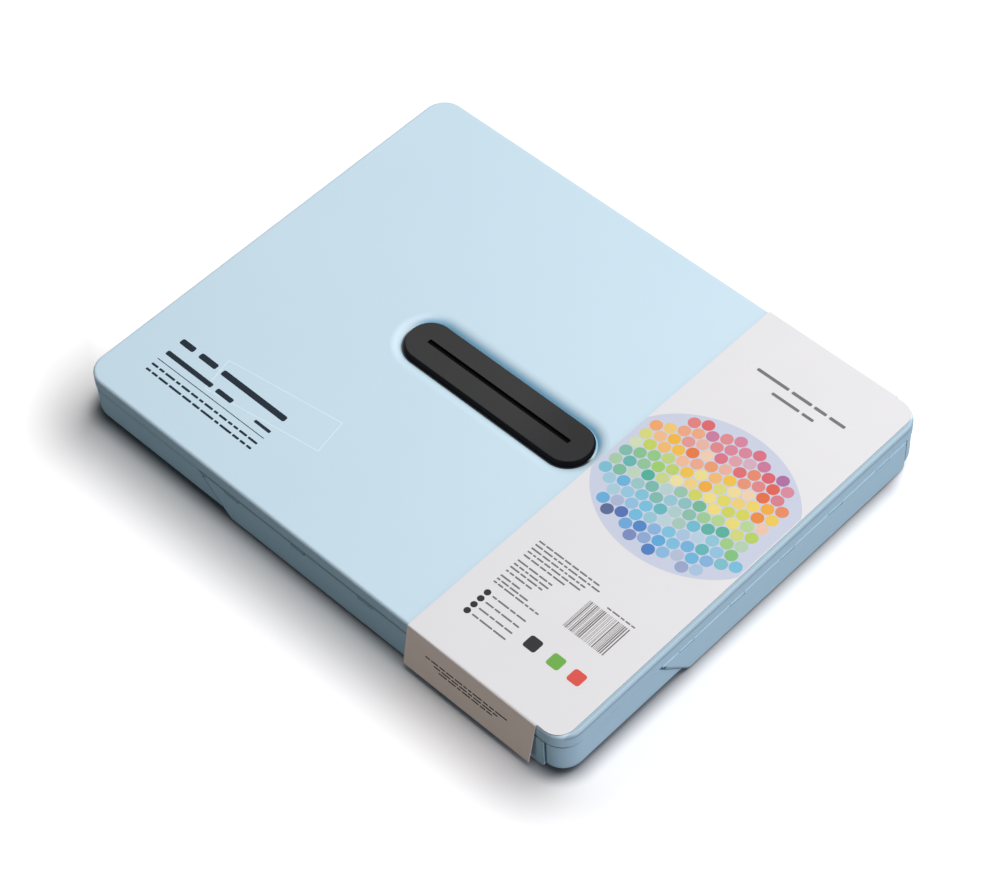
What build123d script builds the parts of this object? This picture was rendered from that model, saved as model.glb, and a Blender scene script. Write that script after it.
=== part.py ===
from build123d import *
import os
from math import cos, degrees, radians, sin

# Flat plastic paint case with a lift-off lid, four side locks, a pull-up handle
# and a card sleeve. Millimetres, +Z up, origin on the floor under the middle of
# the case. +X runs along the long side and the front faces -Y.

os.makedirs("parts", exist_ok=True)

# Case
case_length = 400.0
case_width = 314.0
case_height = 38.0
corner_radius = 15.0
seam_height = 26.3
seam_gap = 1.2
seam_chamfer = 0.2

# Lid
lid_wall = 2.0
lid_edge_radius = 2.0
rib_width = 1.2
rib_height = 1.5
rib_rows = 5
gasket_width = 3.2
gasket_play = 0.1
gasket_seat_gap = 0.05
gasket_rib_drop = 3.4

# Base tub
cladding = 2.6
base_inset = 0.4
tub_wall = 2.2
floor_thickness = 2.6
foot_radius = 8.0
tub_foot_radius = 5.4
cavity_foot_radius = 3.2
lip_height = 5.7
foot_ring_width = 14.0
foot_ring_height = 0.8
lug_length = 34.0
lug_height = 3.0
lug_depth = 0.9
lug_centre_height = 10.5
lugs_on_long_side = 5
lugs_on_short_side = 4

# Side locks
lock_thickness = 1.6
lock_proud = 0.2
lock_floor_gap = 1.5
lock_start_long = 103.0
lock_start_short = 80.0
lock_end = 15.5
lock_slant = 24.0
lock_slant_gap = 1.2
lock_slit = 1.6
lock_corner_radius = 2.5
bead_radius = 1.25
hinge_gap = 0.35
pin_radius = 0.5
pin_clearance = 0.05
pin_inset = 3.0
knuckle_length = 12.0
knuckle_gap = 0.3
knuckles_per_lock = 5

# Handle
grip_length = 148.0
grip_width = 33.2
grip_thickness = 2.85
grip_proud = 1.4
grip_taper = 28.0
grip_edge_radius = 0.6
slot_length = 117.0
slot_width = 3.4
slot_corner_radius = 0.85
core_inset = 0.3
dish_depth = 3.0
dish_margin = 1.0
dish_flare = 3.8
dish_rim_radius = 10.0
dish_backing = 1.6
handle_travel = 10.0
handle_seat_gap = 0.05
post_spacing = 100.0
post_length = 16.0
post_width = 8.0
post_clearance = 0.06
stop_gap = 0.1
stop_plate_margin = 6.0
stop_plate_thickness = 1.8
screw_spacing = 8.0
screw_radius = 1.1
screw_head_radius = 2.2
screw_length = 8.0

# Cups
cup_columns = 14
cup_rows = 8
rack_margin = 5.5
rack_play = 0.3
rack_height = 16.0
rack_wall = 1.2
rack_plate = 1.2
rack_land = 2.6
cup_play = 0.4
cup_wall = 0.8
cup_depth = 15.0
cup_taper = 6.0
cup_corner_radius = 3.0
flange_gap = 0.6
flange_thickness = 0.8
paint_headspace = 2.5
film_inset = 0.3
film_thickness = 0.2
tab_share_gap = 1.0
tab_slot_length = 12.0
tab_slot_width = 1.6

# Card sleeve
sleeve_start = 79.6
sleeve_end_inset = 3.5
sleeve_corner_radius = 11.5
sleeve_thickness = 0.4
sleeve_lift = 0.05
sleeve_side_gap = 0.3
sleeve_bend_radius = 0.9
fold_angle = 45.0
fold_gap = 0.3
sleeve_flap_end = 179.4
sleeve_flap_drop = 32.5
sleeve_flap_skew = 2.0
sleeve_flap_angle = 9.0

# How far a cut runs past the face that it opens
cut_margin = 1.0

# Levels and insets that follow from the sizes above
lid_bottom = seam_height + seam_gap
lid_underside = case_height - lid_wall
lip_top = seam_height + lip_height
cavity_inset = cladding + tub_wall
hinge_out = lock_proud - bead_radius
hinge_height = lid_bottom - hinge_gap - bead_radius
dish_floor = case_height - dish_depth
dish_underside = dish_floor - lid_wall
grip_top = case_height + grip_proud
grip_bottom = grip_top - grip_thickness
core_bottom = dish_floor + handle_seat_gap
stop_plate_top = dish_underside - handle_travel - stop_gap
stop_plate_bottom = stop_plate_top - stop_plate_thickness
rack_length = case_length - 2 * (cavity_inset + rack_margin)
rack_width = case_width - 2 * (cavity_inset + rack_margin)
pitch_x = rack_length / cup_columns
pitch_y = rack_width / cup_rows
rack_top = floor_thickness + rack_height
cup_top = rack_top + flange_thickness
sides = {"front": 0, "right": 90, "back": 180, "left": 270}


def rounded_block(inset, low, high):
    """Block with the case's plan shape, drawn in by inset, between two levels."""
    with BuildPart() as block:
        with BuildSketch(Plane.XY.offset(low)):
            RectangleRounded(
                case_length - 2 * inset, case_width - 2 * inset, corner_radius - inset
            )
        extrude(amount=high - low)
    return block.part


def footed_block(inset, low, high, radius):
    """The same block with its bottom edge rounded."""
    with BuildPart() as block:
        add(rounded_block(inset, low, high))
        fillet(block.edges().group_by(Axis.Z)[0], radius)
    return block.part


def side_is_long(turn):
    return turn % 180 == 0


def side_plane(turn, out):
    """Upright plane that faces out of one side, at a distance beyond its face."""
    half = (case_width if side_is_long(turn) else case_length) / 2
    normal = Vector(0, -1, 0).rotate(Axis.Z, turn)
    along = Vector(1, 0, 0).rotate(Axis.Z, turn)
    return Plane(origin=normal * (half + out), x_dir=along, z_dir=normal)


def lock_span(turn):
    """Where a lock starts and ends along its side."""
    half = (case_length if side_is_long(turn) else case_width) / 2
    start = lock_start_long if side_is_long(turn) else lock_start_short
    return start - half, half - lock_end


def knuckle_places(turn):
    start, end = lock_span(turn)
    step = (end - start) / knuckles_per_lock
    return [start + step * (index + 0.5) for index in range(knuckles_per_lock)]


def slant_x(turn, level):
    """The slanted end of a lock, as a place along its side at a level."""
    start, _ = lock_span(turn)
    return start + lock_slant * (seam_height - level) / (seam_height - lock_floor_gap)


def hinge_rod(turn, start, end, radius):
    """Rod on a lock's hinge axis between two places along its side."""
    upright = side_plane(turn, hinge_out)
    centre = upright.from_local_coords((start, hinge_height, 0))
    with BuildPart() as rod:
        with BuildSketch(Plane(origin=centre, x_dir=(0, 0, 1), z_dir=upright.x_dir)):
            Circle(radius)
        extrude(amount=end - start)
    return rod.part


def lock_recess(turn):
    """The space in the base's cladding that a closed lock takes up."""
    _, end = lock_span(turn)
    low = -cut_margin
    high = seam_height + cut_margin
    with BuildPart() as recess:
        with BuildSketch(side_plane(turn, cut_margin)):
            with BuildLine():
                Polyline(
                    (slant_x(turn, low) - lock_slant_gap, low),
                    (end + lock_slit, low),
                    (end + lock_slit, high),
                    (slant_x(turn, high) - lock_slant_gap, high),
                    close=True,
                )
            make_face()
        extrude(amount=-cut_margin - cladding)
    return recess.part


def catch_lugs(turn):
    """Long lugs on the tub wall behind a lock."""
    _, end = lock_span(turn)
    start = slant_x(turn, lock_floor_gap)
    count = lugs_on_long_side if side_is_long(turn) else lugs_on_short_side
    with BuildPart() as lugs:
        with BuildSketch(side_plane(turn, -cladding)):
            with Locations(((start + end) / 2, lug_centre_height)):
                with GridLocations((end - start) / count, 1, count, 1):
                    SlotOverall(lug_length, lug_height)
        extrude(amount=lug_depth)
    return lugs.part


def dish_form(low, high, grow_low, grow_high):
    """Tapered stadium form around the handle's outline."""
    with BuildPart() as form:
        with BuildSketch(Plane.XY.offset(low)):
            SlotOverall(grip_length + 2 * grow_low, grip_width + 2 * grow_low)
        with BuildSketch(Plane.XY.offset(high)):
            SlotOverall(grip_length + 2 * grow_high, grip_width + 2 * grow_high)
        loft(ruled=True)
    return form.part


# Base tub: a smooth tub with thicker cladding wherever no lock lies against it
with BuildPart() as base_shell:
    add(footed_block(base_inset, 0, seam_height, foot_radius))
    chamfer(base_shell.edges().group_by(Axis.Z)[-1], seam_chamfer)
    for turn in sides.values():
        add(lock_recess(turn), mode=Mode.SUBTRACT)
    add(footed_block(cladding, 0, lip_top, tub_foot_radius))
    add(
        footed_block(
            cavity_inset, floor_thickness, lip_top + cut_margin, cavity_foot_radius
        ),
        mode=Mode.SUBTRACT,
    )
    add(rounded_block(foot_ring_width, -cut_margin, foot_ring_height), mode=Mode.SUBTRACT)
    for turn in sides.values():
        add(catch_lugs(turn))
base_shell.part.label = "base_shell"
export_step(base_shell.part, "parts/base_shell.step")

# Cup rack: thin walls under a plate that the cups hang in
with BuildPart() as cup_rack:
    with BuildSketch(Plane.XY.offset(floor_thickness)):
        Rectangle(rack_length + rack_wall, rack_width + rack_wall)
    extrude(amount=rack_height - rack_plate)
    add(rounded_block(cavity_inset + rack_play, rack_top - rack_plate, rack_top))
    with BuildSketch(Plane.XY.offset(floor_thickness)):
        with GridLocations(pitch_x, pitch_y, cup_columns, cup_rows):
            Rectangle(pitch_x - rack_wall, pitch_y - rack_wall)
    extrude(amount=rack_height - rack_plate, mode=Mode.SUBTRACT)
    with BuildSketch(Plane.XY.offset(rack_top - rack_plate)):
        with GridLocations(pitch_x, pitch_y, cup_columns, cup_rows):
            RectangleRounded(pitch_x - rack_land, pitch_y - rack_land, cup_corner_radius)
    extrude(amount=rack_plate, mode=Mode.SUBTRACT)
cup_rack.part.label = "cup_rack"
export_step(cup_rack.part, "parts/cup_rack.step")

# Cups, paints and peel-off films, one node of each for every row
cup_outer_x = pitch_x - rack_land - 2 * cup_play
cup_outer_y = pitch_y - rack_land - 2 * cup_play
cup_inner_x = cup_outer_x - 2 * cup_wall
cup_inner_y = cup_outer_y - 2 * cup_wall
cup_inner_radius = cup_corner_radius - cup_wall
flange_x = pitch_x - flange_gap
flange_y = pitch_y - flange_gap
film_x = flange_x - 2 * film_inset
film_y = flange_y - 2 * film_inset
film_half = film_y / 2
tab_y = film_half - tab_share_gap


def cup_cavities(row_y):
    """The insides of one row of cups, down from the rim."""
    with BuildPart() as cavities:
        with BuildSketch(Plane(origin=(0, row_y, cup_top), z_dir=(0, 0, -1))):
            with GridLocations(pitch_x, 1, cup_columns, 1):
                RectangleRounded(cup_inner_x, cup_inner_y, cup_inner_radius)
        extrude(amount=cup_depth, taper=cup_taper)
    return cavities.part


for row in range(cup_rows):
    row_y = (row - (cup_rows - 1) / 2) * pitch_y
    number = row + 1

    with BuildPart() as cups:
        with BuildSketch(Plane(origin=(0, row_y, rack_top), z_dir=(0, 0, -1))):
            with GridLocations(pitch_x, 1, cup_columns, 1):
                RectangleRounded(cup_outer_x, cup_outer_y, cup_corner_radius)
        extrude(amount=cup_depth + cup_wall - flange_thickness, taper=cup_taper)
        with BuildSketch(Plane(origin=(0, row_y, rack_top))):
            with GridLocations(pitch_x, 1, cup_columns, 1):
                RectangleRounded(flange_x, flange_y, cup_corner_radius)
        extrude(amount=flange_thickness)
        add(cup_cavities(row_y), mode=Mode.SUBTRACT)
    cups.part.label = f"cups_row_{number}"
    export_step(cups.part, f"parts/cups_row_{number}.step")

    with BuildPart() as paints:
        add(cup_cavities(row_y))
        with BuildSketch(Plane(origin=(0, row_y, cup_top - paint_headspace))):
            Rectangle(rack_length, pitch_y)
        extrude(amount=paint_headspace + cut_margin, mode=Mode.SUBTRACT)
    paints.part.label = f"paints_row_{number}"
    export_step(paints.part, f"parts/paints_row_{number}.step")

    with BuildPart() as films:
        with BuildSketch(Plane(origin=(0, row_y, cup_top))):
            with GridLocations(pitch_x, 1, cup_columns, 1):
                RectangleRounded(film_x, film_y, cup_corner_radius - film_inset)
        extrude(amount=film_thickness)
        with BuildSketch(Plane(origin=(0, row_y + film_half / 2, cup_top + film_thickness))):
            with GridLocations(pitch_x, 1, cup_columns, 1):
                Rectangle(film_x - 2 * tab_share_gap, tab_y)
            with Locations((-(film_x - tab_slot_length) / 2 + tab_share_gap, 0)):
                with GridLocations(pitch_x, 1, cup_columns, 1):
                    Rectangle(tab_slot_length, tab_slot_width, mode=Mode.SUBTRACT)
        extrude(amount=film_thickness)
    films.part.label = f"films_row_{number}"
    export_step(films.part, f"parts/films_row_{number}.step")

# Lid: plate and skirt, a dish for the handle, a rib that holds the gasket,
# and the fixed knuckles of the four lock hinges
gasket_rib_inset = lid_wall + 2 * gasket_play + gasket_width
gasket_rib_bottom = lid_underside - gasket_rib_drop
dish_reach_x = grip_length / 2 + dish_margin + dish_flare + cut_margin
dish_reach_y = grip_width / 2 + dish_margin + dish_flare + cut_margin
with BuildPart() as lid_shell:
    add(rounded_block(0, lid_bottom, case_height))
    fillet(lid_shell.edges().group_by(Axis.Z)[-1], lid_edge_radius)
    chamfer(lid_shell.edges().group_by(Axis.Z)[0], seam_chamfer)
    add(rounded_block(lid_wall, lid_bottom - cut_margin, lid_underside), mode=Mode.SUBTRACT)
    add(rounded_block(gasket_rib_inset, gasket_rib_bottom, lid_underside))
    add(
        rounded_block(
            gasket_rib_inset + rib_width, gasket_rib_bottom - cut_margin, lid_underside
        ),
        mode=Mode.SUBTRACT,
    )
    with BuildSketch(Plane.XY.offset(lid_underside - rib_height)):
        with GridLocations(case_length / (rib_rows + 1), 1, rib_rows, 1):
            Rectangle(rib_width, case_width - 2 * gasket_rib_inset)
        with GridLocations(1, case_width / (rib_rows + 1), 1, rib_rows):
            Rectangle(case_length - 2 * gasket_rib_inset, rib_width)
    extrude(amount=rib_height)
    add(
        dish_form(
            dish_underside,
            lid_underside,
            dish_margin + dish_backing,
            dish_margin + dish_flare + dish_backing,
        )
    )
    add(
        dish_form(dish_floor, case_height, dish_margin, dish_margin + dish_flare),
        mode=Mode.SUBTRACT,
    )
    top_edges = lid_shell.edges().group_by(Axis.Z)[-1]
    dish_rim = top_edges.filter_by_position(Axis.X, -dish_reach_x, dish_reach_x)
    fillet(dish_rim.filter_by_position(Axis.Y, -dish_reach_y, dish_reach_y), dish_rim_radius)
    with BuildSketch(Plane.XY.offset(dish_underside - cut_margin)):
        with GridLocations(post_spacing, 1, 2, 1):
            Rectangle(post_length + 2 * post_clearance, post_width + 2 * post_clearance)
    extrude(amount=lid_wall + 2 * cut_margin, mode=Mode.SUBTRACT)
    for turn in sides.values():
        for place in knuckle_places(turn):
            ends = (place - knuckle_length / 2, place + knuckle_length / 2)
            add(hinge_rod(turn, *ends, bead_radius))
            with BuildSketch(side_plane(turn, -seam_chamfer)):
                with Locations((place, lid_bottom)):
                    Rectangle(knuckle_length, 2 * (lid_bottom - hinge_height))
            extrude(amount=hinge_out - bead_radius + seam_chamfer)
        for place in knuckle_places(turn):
            ends = (place - knuckle_length, place + knuckle_length)
            bore = hinge_rod(turn, *ends, pin_radius + pin_clearance)
            add(bore, mode=Mode.SUBTRACT)
lid_shell.part.label = "lid_shell"
export_step(lid_shell.part, "parts/lid_shell.step")

# Gasket: a soft strip in the lid that presses on the tub's lip
with BuildPart() as lid_gasket:
    add(rounded_block(lid_wall + gasket_play, lip_top + gasket_seat_gap, lid_underside))
    add(
        rounded_block(
            lid_wall + gasket_play + gasket_width,
            lip_top - cut_margin,
            lid_underside + cut_margin,
        ),
        mode=Mode.SUBTRACT,
    )
lid_gasket.part.label = "lid_gasket"
export_step(lid_gasket.part, "parts/lid_gasket.step")

# Locks and their hinge pins
for name, turn in sides.items():
    _, end = lock_span(turn)
    with BuildPart() as lock:
        with BuildSketch(side_plane(turn, lock_proud)) as outline:
            with BuildLine():
                Polyline(
                    (slant_x(turn, lock_floor_gap), lock_floor_gap),
                    (end, lock_floor_gap),
                    (end, hinge_height),
                    (slant_x(turn, hinge_height), hinge_height),
                    close=True,
                )
            make_face()
            fillet(outline.vertices().group_by(Axis.Z)[0], lock_corner_radius)
        extrude(amount=-lock_thickness)
        bead_start = slant_x(turn, hinge_height - bead_radius)
        add(hinge_rod(turn, bead_start, end, bead_radius))
        for place in knuckle_places(turn):
            reach = bead_radius + hinge_gap
            with BuildSketch(side_plane(turn, hinge_out)):
                with Locations((place, hinge_height)):
                    Rectangle(knuckle_length + 2 * knuckle_gap, 2 * reach)
            extrude(amount=reach + cut_margin, both=True, mode=Mode.SUBTRACT)
        bore = hinge_rod(
            turn, bead_start + pin_inset, end + cut_margin, pin_radius + pin_clearance
        )
        add(bore, mode=Mode.SUBTRACT)
    lock.part.label = f"lock_{name}"
    export_step(lock.part, f"parts/lock_{name}.step")

    pin = hinge_rod(turn, bead_start + pin_inset + pin_radius, end - pin_radius, pin_radius)
    pin.label = f"hinge_pin_{name}"
    export_step(pin, f"parts/hinge_pin_{name}.step")

# Handle: soft grip with a long slot, on a core whose posts run through the lid
with BuildPart() as handle_grip:
    with BuildSketch(Plane.XY.offset(grip_bottom)):
        SlotOverall(grip_length, grip_width)
    extrude(amount=grip_thickness, taper=grip_taper)
    fillet(handle_grip.edges().group_by(Axis.Z)[-1], grip_edge_radius)
    with BuildSketch(Plane.XY.offset(grip_bottom)):
        RectangleRounded(slot_length, slot_width, slot_corner_radius)
    extrude(amount=grip_thickness, mode=Mode.SUBTRACT)
handle_grip.part.label = "handle_grip"
export_step(handle_grip.part, "parts/handle_grip.step")

with BuildPart() as handle_core:
    with BuildSketch(Plane.XY.offset(core_bottom)):
        SlotOverall(grip_length - 2 * core_inset, grip_width - 2 * core_inset)
    extrude(amount=grip_bottom - core_bottom)
    with BuildSketch(Plane.XY.offset(stop_plate_top)):
        with GridLocations(post_spacing, 1, 2, 1):
            Rectangle(post_length, post_width)
    extrude(amount=core_bottom - stop_plate_top)
    with BuildSketch(Plane.XY.offset(stop_plate_top)):
        with GridLocations(post_spacing, 1, 2, 1):
            with GridLocations(screw_spacing, 1, 2, 1):
                Circle(screw_radius)
    extrude(amount=screw_length, mode=Mode.SUBTRACT)
handle_core.part.label = "handle_core"
export_step(handle_core.part, "parts/handle_core.step")

with BuildPart() as stop_plate:
    with BuildSketch(Plane.XY.offset(stop_plate_bottom)):
        RectangleRounded(
            post_spacing + post_length + 2 * stop_plate_margin,
            post_width + 2 * stop_plate_margin,
            stop_plate_margin,
        )
    extrude(amount=stop_plate_thickness)
    with Locations(stop_plate.faces().sort_by(Axis.Z)[0]):
        with GridLocations(post_spacing, 1, 2, 1):
            with GridLocations(screw_spacing, 1, 2, 1):
                CounterSinkHole(
                    screw_radius + pin_clearance,
                    screw_head_radius + pin_clearance,
                    counter_sink_angle=90,
                )
stop_plate.part.label = "handle_stop_plate"
export_step(stop_plate.part, "parts/handle_stop_plate.step")

with BuildPart() as screws:
    with BuildSketch(Plane.XY.offset(stop_plate_bottom)):
        with GridLocations(post_spacing, 1, 2, 1):
            with GridLocations(screw_spacing, 1, 2, 1):
                Circle(screw_radius)
    extrude(amount=stop_plate_thickness + screw_length - pin_clearance)
    with BuildSketch(Plane.XY.offset(stop_plate_bottom)):
        with GridLocations(post_spacing, 1, 2, 1):
            with GridLocations(screw_spacing, 1, 2, 1):
                Circle(screw_head_radius)
    extrude(amount=screw_head_radius - screw_radius, taper=45)
screws.part.label = "handle_screws"
export_step(screws.part, "parts/handle_screws.step")

# Card sleeve: a sheet on the lid, bent down at both long sides into a hanging flap.
# hand is 1 on the front, where a place along the side is its place on X, and -1 on
# the back, where the two are opposite.
bend_outer_radius = sleeve_bend_radius + sleeve_thickness
bend_out = sleeve_side_gap - sleeve_bend_radius
bend_height = case_height + sleeve_lift - sleeve_bend_radius
flap_high_angle = fold_angle - degrees(fold_gap / bend_outer_radius)
hands = {"front": 1, "back": -1}


def bend_plane(name, start):
    """Plane across the card's bend at a place on X, with its x axis straight out."""
    upright = side_plane(sides[name], bend_out)
    centre = upright.from_local_coords((hands[name] * start, bend_height, 0))
    return Plane(origin=centre, x_dir=upright.z_dir, z_dir=-upright.x_dir)


def card_bend(name, start, low, high):
    """The card's bend over the lid's edge, between two angles above straight out."""
    reach = 2 * bend_outer_radius
    with BuildPart() as bend:
        with BuildSketch(bend_plane(name, start)):
            Circle(bend_outer_radius)
            Circle(sleeve_bend_radius, mode=Mode.SUBTRACT)
            with BuildLine():
                Polyline(
                    (0, 0),
                    (reach * cos(radians(low)), reach * sin(radians(low))),
                    (reach * cos(radians(high)), reach * sin(radians(high))),
                    close=True,
                )
            make_face(mode=Mode.INTERSECT)
        extrude(amount=-hands[name] * (sleeve_flap_end - start))
    return bend.part


with BuildPart() as sleeve_top:
    with BuildSketch(Plane.XY.offset(case_height + sleeve_lift)):
        RectangleRounded(
            case_length - 2 * sleeve_end_inset,
            case_width + 2 * bend_out,
            sleeve_corner_radius,
        )
        with Locations((sleeve_start + case_length / 2, 0)):
            Rectangle(case_length, case_width, mode=Mode.INTERSECT)
    extrude(amount=sleeve_thickness)
    for name in hands:
        add(card_bend(name, sleeve_start, fold_angle, 90))
sleeve_top.part.label = "sleeve_top"
export_step(sleeve_top.part, "parts/sleeve_top.step")

tilt = radians(sleeve_flap_angle)
drop_start = (sleeve_bend_radius * cos(tilt), sleeve_bend_radius * sin(tilt))
flap_low_start = sleeve_start - sleeve_flap_skew / 2
for name, hand in hands.items():
    with BuildPart() as sleeve_flap:
        add(card_bend(name, flap_low_start, sleeve_flap_angle, flap_high_angle))
        with BuildSketch(bend_plane(name, flap_low_start)):
            with Locations(drop_start):
                Rectangle(
                    sleeve_thickness,
                    sleeve_flap_drop,
                    rotation=sleeve_flap_angle,
                    align=(Align.MIN, Align.MAX),
                )
        extrude(amount=-hand * (sleeve_flap_end - flap_low_start))
        with BuildSketch(side_plane(sides[name], 0)):
            with BuildLine():
                Polyline(
                    (hand * sleeve_start, case_height),
                    (hand * sleeve_flap_end, case_height),
                    (hand * (sleeve_flap_end - sleeve_flap_skew), 0),
                    (hand * flap_low_start, 0),
                    close=True,
                )
            make_face()
        extrude(amount=sleeve_flap_drop, both=True, mode=Mode.INTERSECT)
    sleeve_flap.part.label = f"sleeve_flap_{name}"
    export_step(sleeve_flap.part, f"parts/sleeve_flap_{name}.step")
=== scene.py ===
import math
import random

import bmesh
import bpy
from mathutils import Euler, Matrix, Vector


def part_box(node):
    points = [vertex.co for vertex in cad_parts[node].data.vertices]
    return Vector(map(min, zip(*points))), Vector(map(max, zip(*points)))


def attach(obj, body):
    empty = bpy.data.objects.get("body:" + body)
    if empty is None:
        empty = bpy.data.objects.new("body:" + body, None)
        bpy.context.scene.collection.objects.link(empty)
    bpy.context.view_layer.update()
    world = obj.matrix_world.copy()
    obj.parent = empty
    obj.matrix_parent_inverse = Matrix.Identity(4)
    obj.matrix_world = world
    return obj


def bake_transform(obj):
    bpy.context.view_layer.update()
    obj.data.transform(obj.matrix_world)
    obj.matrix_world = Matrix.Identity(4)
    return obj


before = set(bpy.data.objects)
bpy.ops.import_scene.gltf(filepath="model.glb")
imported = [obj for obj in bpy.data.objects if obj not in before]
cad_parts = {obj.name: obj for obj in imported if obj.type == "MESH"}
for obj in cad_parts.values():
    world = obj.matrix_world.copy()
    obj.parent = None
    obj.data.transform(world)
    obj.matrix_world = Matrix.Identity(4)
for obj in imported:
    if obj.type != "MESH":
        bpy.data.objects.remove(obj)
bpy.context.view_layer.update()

# Looks of the paint case: plastics, rubber, card, print, paint, floor, light and camera.
# Metres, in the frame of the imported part. MM turns millimetres into metres.

MM = 0.001
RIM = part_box("lid_shell")[1]
LID_TOP = RIM.z
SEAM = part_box("lock_front")[1].z
CARD_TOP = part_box("sleeve_top")[1].z
CARD_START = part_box("sleeve_top")[0].x
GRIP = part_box("handle_grip")[1]

# The card sleeve's bend over the lid's long edges: its centre line and radii
BEND_INNER = 0.9 * MM
BEND_OUTER = 1.3 * MM
FOLD_ANGLE = 45.0
BEND_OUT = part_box("sleeve_top")[1].y - BEND_OUTER * math.cos(math.radians(FOLD_ANGLE))
BEND_HEIGHT = CARD_TOP - BEND_OUTER

RACK_LOW, RACK_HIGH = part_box("films_row_1")[0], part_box("films_row_8")[1]
CUP_COLUMNS = 14
CUP_ROWS = 8


# ---- Short calls for shader nodes ----

def feed(tree, node, inputs):
    """Link a node's inputs to sockets, or set them to plain values."""
    for key, value in inputs.items():
        if isinstance(value, bpy.types.NodeSocket):
            tree.links.new(value, node.inputs[key])
        else:
            node.inputs[key].default_value = value


def put(tree, kind, inputs=None, **settings):
    """A node with its settings and inputs."""
    made = tree.nodes.new(kind)
    for name, value in settings.items():
        setattr(made, name, value)
    feed(tree, made, inputs or {})
    return made


def math_node(tree, operation, *values):
    return put(
        tree, "ShaderNodeMath", dict(enumerate(values)), operation=operation
    ).outputs[0]


def product(tree, first, *others):
    for value in others:
        first = math_node(tree, "MULTIPLY", first, value)
    return first


def hypotenuse(tree, across, up):
    squares = math_node(
        tree, "MULTIPLY_ADD", across, across, math_node(tree, "MULTIPLY", up, up)
    )
    return math_node(tree, "SQRT", squares)


def beyond(tree, value, reach):
    """How far a value is from zero past a reach, either way, and 0 inside it."""
    past = math_node(tree, "SUBTRACT", math_node(tree, "ABSOLUTE", value), reach)
    return math_node(tree, "MAXIMUM", past, 0.0)


def mix_colour(tree, factor, first, second):
    return put(
        tree, "ShaderNodeMix", {0: factor, 6: first, 7: second}, data_type="RGBA"
    ).outputs[2]


def step_between(tree, value, low, high):
    """0 up to low and 1 from high, smooth between them. low may be the higher one."""
    return put(
        tree, "ShaderNodeMapRange",
        {"Value": value, "From Min": low, "From Max": high},
        interpolation_type="SMOOTHSTEP",
    ).outputs[0]


def ramp(tree, factor, stops):
    """A colour ramp through (place, colour) stops."""
    made = put(tree, "ShaderNodeValToRGB", {"Fac": factor})
    points = made.color_ramp.elements
    while len(points) < len(stops):
        points.new(0.5)
    for point, (place, colour) in zip(points, stops):
        point.position = place
        point.color = colour
    return made.outputs["Color"]


def split(tree, vector):
    return put(tree, "ShaderNodeSeparateXYZ", {0: vector}).outputs


def rgba(red, green, blue):
    return (red, green, blue, 1.0)


def new_group(name, kind, inputs, outputs):
    """An empty node group with named sockets, and its input and output nodes."""
    tree = bpy.data.node_groups.new(name, kind)
    for label, kind, value in inputs:
        socket = tree.interface.new_socket(label, in_out="INPUT", socket_type=kind)
        if value is not None:
            socket.default_value = value
    for label, kind in outputs:
        tree.interface.new_socket(label, in_out="OUTPUT", socket_type=kind)
    return tree, tree.nodes.new("NodeGroupInput"), tree.nodes.new("NodeGroupOutput")


def empty_tree(owner):
    """The node tree of a material or world, without its first nodes."""
    owner.use_nodes = True
    owner.node_tree.nodes.clear()
    return owner.node_tree


def new_material(name):
    """A material with its tree, Principled shader and Object coordinates."""
    made = bpy.data.materials.new(name)
    tree = empty_tree(made)
    shader = tree.nodes.new("ShaderNodeBsdfPrincipled")
    surface = tree.nodes.new("ShaderNodeOutputMaterial")
    tree.links.new(shader.outputs[0], surface.inputs["Surface"])
    place = tree.nodes.new("ShaderNodeTexCoord").outputs["Object"]
    return made, tree, shader, place


def new_object(name, data):
    made = bpy.data.objects.new(name, data)
    bpy.context.scene.collection.objects.link(made)
    return made


# ---- Effects that several materials share ----

def make_moulded_skin():
    """Faint grain, flow mottle and handling marks of a moulded surface."""
    tree, given, out = new_group(
        "moulded_skin", "ShaderNodeTree",
        [
            ("Vector", "NodeSocketVector", None),
            ("Grain Scale", "NodeSocketFloat", 2600.0),
            ("Mottle Scale", "NodeSocketFloat", 14.0),
            ("Roughness", "NodeSocketFloat", 0.35),
            ("Roughness Spread", "NodeSocketFloat", 0.06),
        ],
        [
            ("Mottle", "NodeSocketFloat"),
            ("Roughness", "NodeSocketFloat"),
            ("Height", "NodeSocketFloat"),
        ],
    )
    place = given.outputs["Vector"]
    grain = put(
        tree, "ShaderNodeTexNoise",
        {"Vector": place, "Scale": given.outputs["Grain Scale"], "Detail": 3.0},
    ).outputs["Fac"]
    mottle = put(
        tree, "ShaderNodeTexNoise",
        {"Vector": place, "Scale": given.outputs["Mottle Scale"], "Detail": 4.0},
    ).outputs["Fac"]
    smear = put(
        tree, "ShaderNodeTexNoise",
        {"Vector": place, "Scale": 60.0, "Detail": 5.0, "Distortion": 1.5},
    ).outputs["Fac"]
    spread = math_node(tree, "SUBTRACT", smear, 0.5)
    rough = math_node(
        tree, "MULTIPLY_ADD", spread, given.outputs["Roughness Spread"],
        given.outputs["Roughness"],
    )
    tree.links.new(mottle, out.inputs["Mottle"])
    tree.links.new(rough, out.inputs["Roughness"])
    tree.links.new(grain, out.inputs["Height"])
    return tree


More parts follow.
